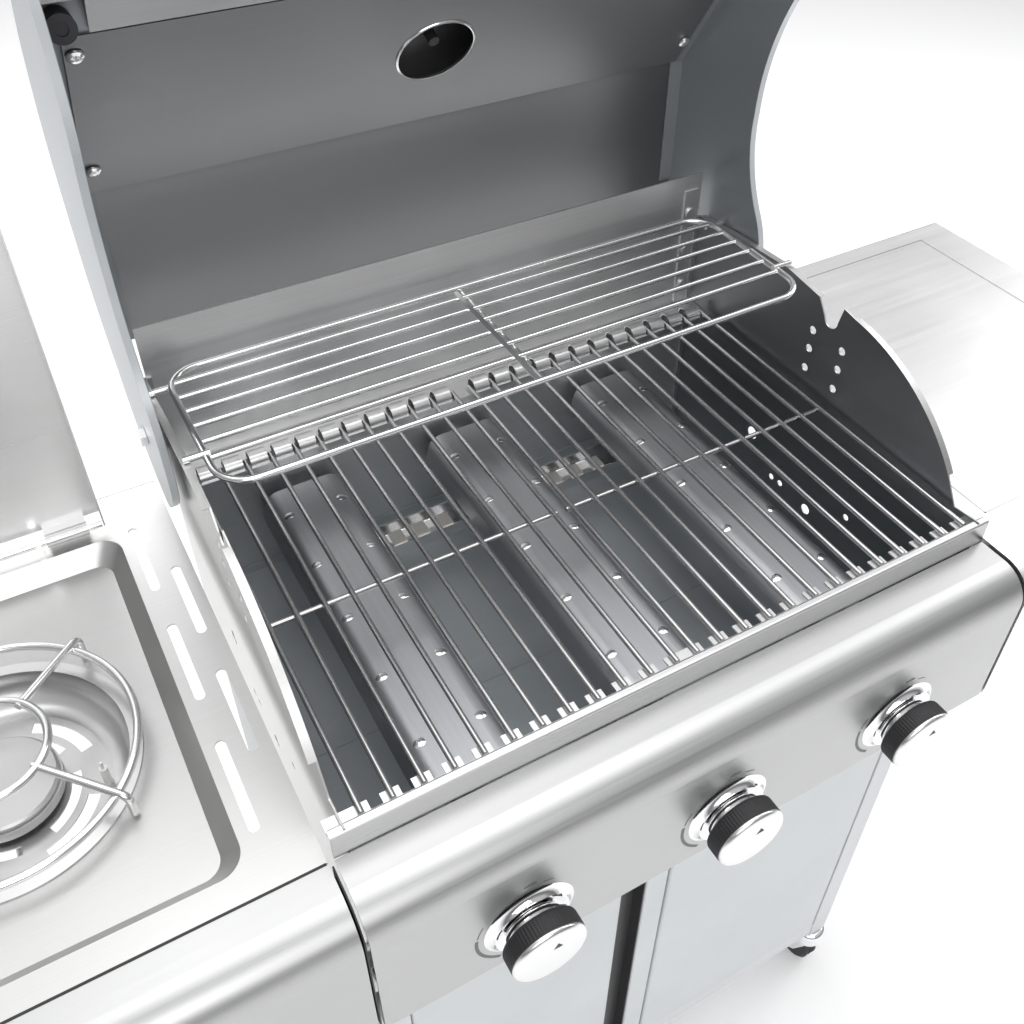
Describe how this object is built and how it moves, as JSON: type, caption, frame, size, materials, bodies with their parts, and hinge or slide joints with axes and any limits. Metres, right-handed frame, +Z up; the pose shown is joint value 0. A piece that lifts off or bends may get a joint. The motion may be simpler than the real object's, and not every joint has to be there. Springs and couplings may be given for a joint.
{
  "type": "gas barbecue grill",
  "caption": "Free-standing gas barbecue on a closed cart, with a hinged roasting lid, wire grates, a warming rack, a lidded side burner and a side table.",
  "frame": {"origin": "floor level, at the middle of the whole grill's footprint", "axes": "+X to the grill's right as its user faces it, +Y to its back, +Z up"},
  "size_m": [1.182, 0.517, 1.1314],
  "materials": {
    "cart_paint": "smooth pale grey powder coat",
    "black_plastic": "moulded black",
    "door_steel": "smooth pale grey",
    "bright_steel": "bright folded edge",
    "box_steel": "darker brushed sheet",
    "dark_steel": "dark slate coat",
    "plain_steel": "plain",
    "panel_steel": "satin, brushed along its length",
    "brass_parts": "machined",
    "chrome_parts": "polished",
    "burner_alloy": "cast",
    "white_ceramic": "plain",
    "wire_chrome": "bright plated wire",
    "lid_steel": "satin, brushed along its length",
    "liner_steel": "satin",
    "cap_paint": "pale silver grey",
    "black_rubber": "moulded",
    "knob_metal": "satin with a black grip band"
  },
  "bodies": {
    "grill": {"cart_frame": "cart_paint", "cart_sides": "cart_paint", "cart_back": "cart_paint", "cart_base": "cart_paint", "caster_sockets": "black_plastic", "door_pins": "bright_steel", "firebox_left_wall": "box_steel", "firebox_right_wall": "box_steel", "firebox_back": "box_steel", "front_rail": "bright_steel", "rear_rail": "bright_steel", "firebox_pan": "dark_steel", "heat_plates": "box_steel", "burners": "plain_steel", "crossover_channels": "plain_steel", "control_panel": "panel_steel", "gas_manifold": "plain_steel", "gas_valves": "brass_parts", "gas_inlet": "brass_parts", "knob_bezels": "chrome_parts", "right_table": "panel_steel", "left_deck": "panel_steel", "left_apron": "panel_steel", "drip_bowl": "bright_steel", "side_burner": "burner_alloy", "side_igniter": "white_ceramic", "side_lid_hinge": "bright_steel", "lid_hinge_bolts": "bright_steel"},
    "lid": {"lid_skin": "lid_steel", "lid_liner": "liner_steel", "lid_cap_left": "cap_paint", "lid_cap_right": "cap_paint", "lid_bumpers": "black_rubber", "lid_screws": "bright_steel", "thermometer": "chrome_parts", "lid_handle": "lid_steel", "handle_mounts": "chrome_parts"},
    "side_lid": {"side_lid": "panel_steel"},
    "door_left": {"door_left": "door_steel"},
    "door_right": {"door_right": "door_steel"},
    "grate_left": {"grate_left": "wire_chrome"},
    "grate_right": {"grate_right": "wire_chrome"},
    "warming_rack": {"warming_rack": "wire_chrome"},
    "pot_support": {"pot_support": "wire_chrome"},
    "grease_tray": {"grease_tray": "dark_steel", "grease_cup": "plain_steel"},
    "knob_1": {"knob_1": "knob_metal"},
    "knob_2": {"knob_2": "knob_metal"},
    "knob_3": {"knob_3": "knob_metal"},
    "knob_4": {"knob_4": "knob_metal"},
    "caster_1": {"caster_hood_1": "chrome_parts"},
    "wheel_1": {"caster_wheel_1": "black_rubber"},
    "caster_2": {"caster_hood_2": "chrome_parts"},
    "wheel_2": {"caster_wheel_2": "black_rubber"},
    "caster_3": {"caster_hood_3": "chrome_parts"},
    "wheel_3": {"caster_wheel_3": "black_rubber"},
    "caster_4": {"caster_hood_4": "chrome_parts"},
    "wheel_4": {"caster_wheel_4": "black_rubber"}
  },
  "joints": [
    {"name": "lid_hinge", "type": "hinge", "parent": "grill", "child": "lid", "pos_m": [0, 0.161, 0.745], "axis": [1, 0, 0], "range_deg": [0, 86]},
    {"name": "side_lid_hinge", "type": "hinge", "parent": "grill", "child": "side_lid", "pos_m": [-0.421, 0.149, 0.688], "axis": [1, 0, 0], "range_deg": [0, 90]},
    {"name": "door_left_hinge", "type": "hinge", "parent": "grill", "child": "door_left", "pos_m": [-0.2273, -0.184, 0.3], "axis": [0, 0, -1], "range_deg": [0, 105]},
    {"name": "door_right_hinge", "type": "hinge", "parent": "grill", "child": "door_right", "pos_m": [0.2273, -0.184, 0.3], "axis": [0, 0, 1], "range_deg": [0, 105]},
    {"name": "grease_tray_slide", "type": "slide", "parent": "grill", "child": "grease_tray", "axis": [0, 1, 0], "range_m": [0, 0.28]},
    {"name": "grate_left_lift", "type": "slide", "parent": "grill", "child": "grate_left", "axis": [0, 0, -1], "range_m": [-0.06, 0]},
    {"name": "grate_right_lift", "type": "slide", "parent": "grill", "child": "grate_right", "axis": [0, 0, -1], "range_m": [-0.06, 0]},
    {"name": "warming_rack_lift", "type": "slide", "parent": "grill", "child": "warming_rack", "axis": [0, 0, -1], "range_m": [-0.1, 0]},
    {"name": "pot_support_lift", "type": "slide", "parent": "grill", "child": "pot_support", "axis": [0, 0, -1], "range_m": [-0.05, 0]},
    {"name": "knob_1_turn", "type": "hinge", "parent": "grill", "child": "knob_1", "pos_m": [-0.157, -0.241, 0.589], "axis": [0, 1, 0], "range_deg": [0, 200]},
    {"name": "knob_2_turn", "type": "hinge", "parent": "grill", "child": "knob_2", "pos_m": [0, -0.241, 0.589], "axis": [0, 1, 0], "range_deg": [0, 200]},
    {"name": "knob_3_turn", "type": "hinge", "parent": "grill", "child": "knob_3", "pos_m": [0.157, -0.241, 0.589], "axis": [0, 1, 0], "range_deg": [0, 200]},
    {"name": "knob_4_turn", "type": "hinge", "parent": "grill", "child": "knob_4", "pos_m": [-0.427, -0.241, 0.589], "axis": [0, 1, 0], "range_deg": [0, 200]},
    {"name": "caster_1_swivel", "type": "hinge", "parent": "grill", "child": "caster_1", "pos_m": [-0.24175, -0.17675, 0.06], "axis": [0, 0, 1], "continuous": true},
    {"name": "wheel_1_roll", "type": "hinge", "parent": "caster_1", "child": "wheel_1", "pos_m": [-0.24175, -0.16475, 0.025], "axis": [1, 0, 0], "continuous": true},
    {"name": "caster_2_swivel", "type": "hinge", "parent": "grill", "child": "caster_2", "pos_m": [-0.24175, 0.16925, 0.06], "axis": [0, 0, 1], "continuous": true},
    {"name": "wheel_2_roll", "type": "hinge", "parent": "caster_2", "child": "wheel_2", "pos_m": [-0.24175, 0.18125, 0.025], "axis": [1, 0, 0], "continuous": true},
    {"name": "caster_3_swivel", "type": "hinge", "parent": "grill", "child": "caster_3", "pos_m": [0.24175, -0.17675, 0.06], "axis": [0, 0, 1], "continuous": true},
    {"name": "wheel_3_roll", "type": "hinge", "parent": "caster_3", "child": "wheel_3", "pos_m": [0.24175, -0.16475, 0.025], "axis": [1, 0, 0], "continuous": true},
    {"name": "caster_4_swivel", "type": "hinge", "parent": "grill", "child": "caster_4", "pos_m": [0.24175, 0.16925, 0.06], "axis": [0, 0, 1], "continuous": true},
    {"name": "wheel_4_roll", "type": "hinge", "parent": "caster_4", "child": "wheel_4", "pos_m": [0.24175, 0.18125, 0.025], "axis": [1, 0, 0], "continuous": true}
  ]
}
